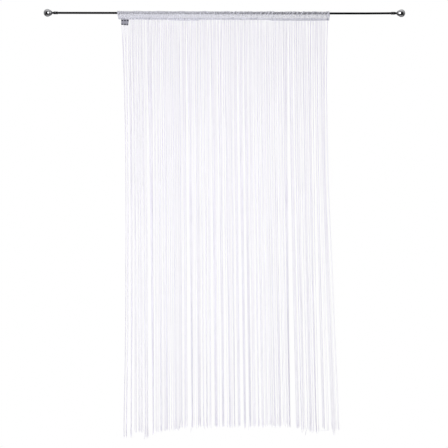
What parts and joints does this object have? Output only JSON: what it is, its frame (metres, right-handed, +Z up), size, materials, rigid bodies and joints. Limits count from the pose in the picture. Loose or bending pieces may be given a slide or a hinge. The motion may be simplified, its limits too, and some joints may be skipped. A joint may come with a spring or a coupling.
{
  "type": "string curtain on a rod",
  "caption": "White string curtain with a sheer rod-pocket heading, hanging open on a slim polished rod with ball finials.",
  "frame": {"origin": "on the rod's axis, halfway along the rod, where the rod is held by its brackets' line", "axes": "+X along the rod, to the right of someone facing the front; +Z up; the curtain's front faces -Y"},
  "size_m": [1.713, 0.036, 2.0284],
  "materials": {
    "rod_metal": "polished, dark",
    "finial_metal": "mirror polished",
    "heading_cloth": "sheer woven, lightly puckered",
    "string_yarn": "matt white yarn",
    "label_cloth": "woven, bare"
  },
  "bodies": {
    "root": {"rod": "rod_metal", "finial_left": "finial_metal", "finial_right": "finial_metal", "heading": "heading_cloth", "strings": "string_yarn", "label": "label_cloth"}
  },
  "joints": []
}
